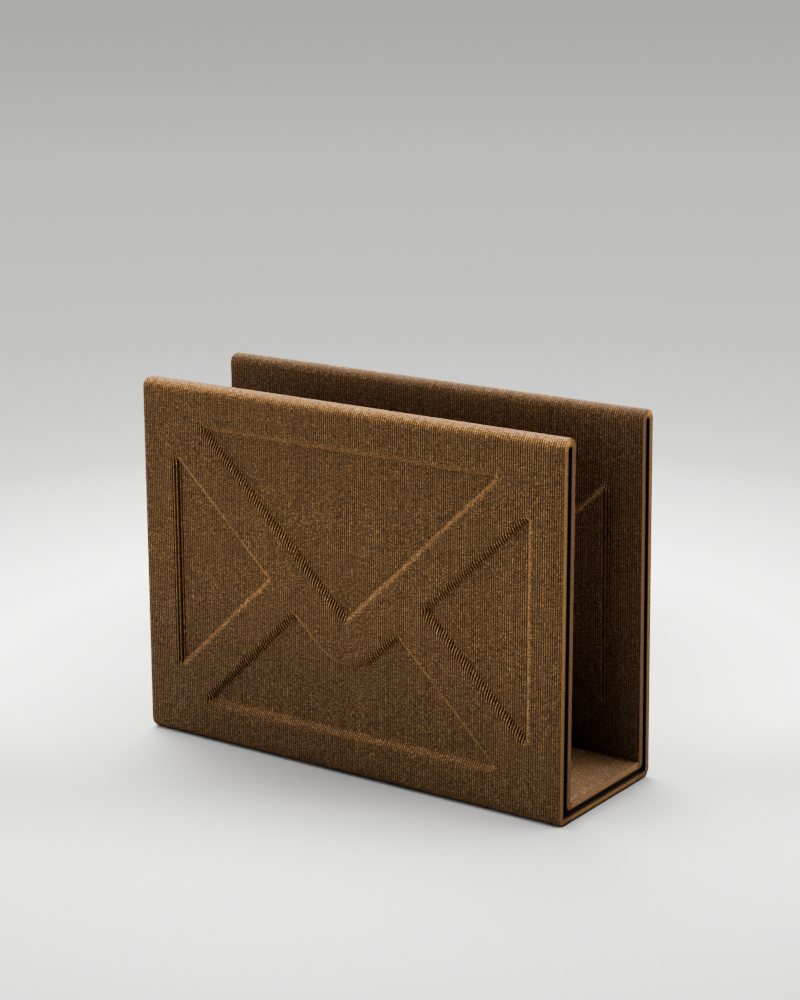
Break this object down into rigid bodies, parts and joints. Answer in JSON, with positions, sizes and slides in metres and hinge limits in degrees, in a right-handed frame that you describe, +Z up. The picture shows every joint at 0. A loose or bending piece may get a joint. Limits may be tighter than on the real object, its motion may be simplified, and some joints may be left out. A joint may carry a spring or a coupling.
{
  "type": "letter holder",
  "caption": "U-shaped desk letter holder printed as one hollow-walled shell, open at the top and both ends, with a pressed envelope relief on each wall.",
  "frame": {"origin": "centre of the footprint, on the underside", "axes": "+Z up, +X along the walls towards the end where the two skins show, +Y from the front wall to the rear wall"},
  "size_m": [0.204, 0.0686, 0.1518],
  "materials": {
    "print_brown": "matte, fine speckle with layer ribs"
  },
  "bodies": {
    "root": {"front_outer_skin": "print_brown", "front_inner_skin": "print_brown", "rear_outer_skin": "print_brown", "rear_inner_skin": "print_brown", "base_skin": "print_brown", "floor_skin": "print_brown", "front_fold": "print_brown", "rear_fold": "print_brown", "closed_end": "print_brown"}
  },
  "joints": []
}
